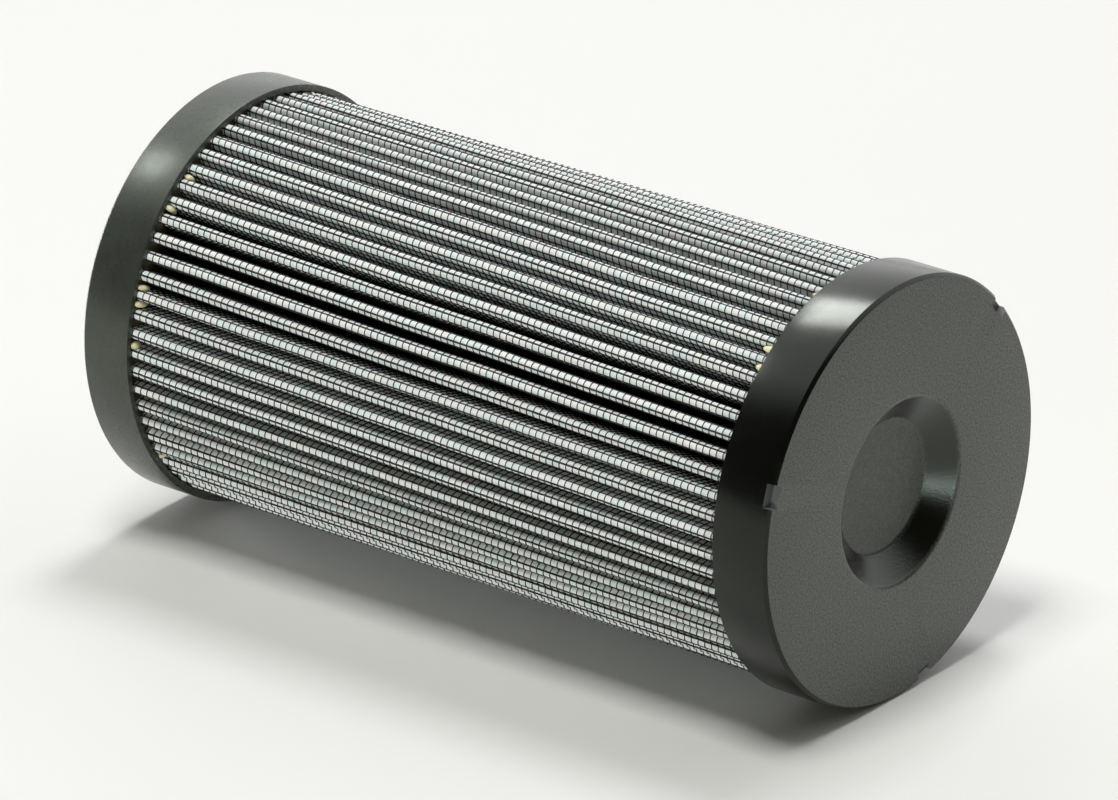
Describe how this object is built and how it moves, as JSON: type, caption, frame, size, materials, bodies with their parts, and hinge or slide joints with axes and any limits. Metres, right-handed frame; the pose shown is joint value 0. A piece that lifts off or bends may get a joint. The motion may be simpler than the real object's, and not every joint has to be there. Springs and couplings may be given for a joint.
{
  "type": "pleated filter element",
  "caption": "Hydraulic filter element: pleated glass-fibre media under black wire mesh between two black plastic end caps, one closed and dished, one with a sealed bore.",
  "frame": {"origin": "middle of the closed end cap's outer face, on which the element stands", "axes": "+Z along the element's axis from the closed end cap to the open one; one of the three rim notches lies on -Y"},
  "size_m": [0.076, 0.076, 0.1494],
  "materials": {
    "cap_nylon": "black glass-filled nylon: fine matt grain on the end faces, smooth satin on the skirts",
    "core_nylon": "black glass-filled nylon, plain moulded",
    "seal_rubber": "black nitrile rubber, satin",
    "potting_resin": "pale yellow polyurethane or epoxy adhesive, slightly glossy",
    "coated_wire": "black epoxy-coated steel wire cloth",
    "glass_fibre": "white glass-fibre fleece, soft matt",
    "clip_steel": "thin bright steel strip"
  },
  "bodies": {
    "root": {"closed_end_cap": "cap_nylon", "open_end_cap": "cap_nylon", "bore_seal": "seal_rubber", "core_tube": "core_nylon", "lower_potting": "potting_resin", "upper_potting": "potting_resin", "outer_mesh": "coated_wire", "filter_media": "glass_fibre", "inner_mesh": "coated_wire", "seam_clip": "clip_steel"}
  },
  "joints": []
}
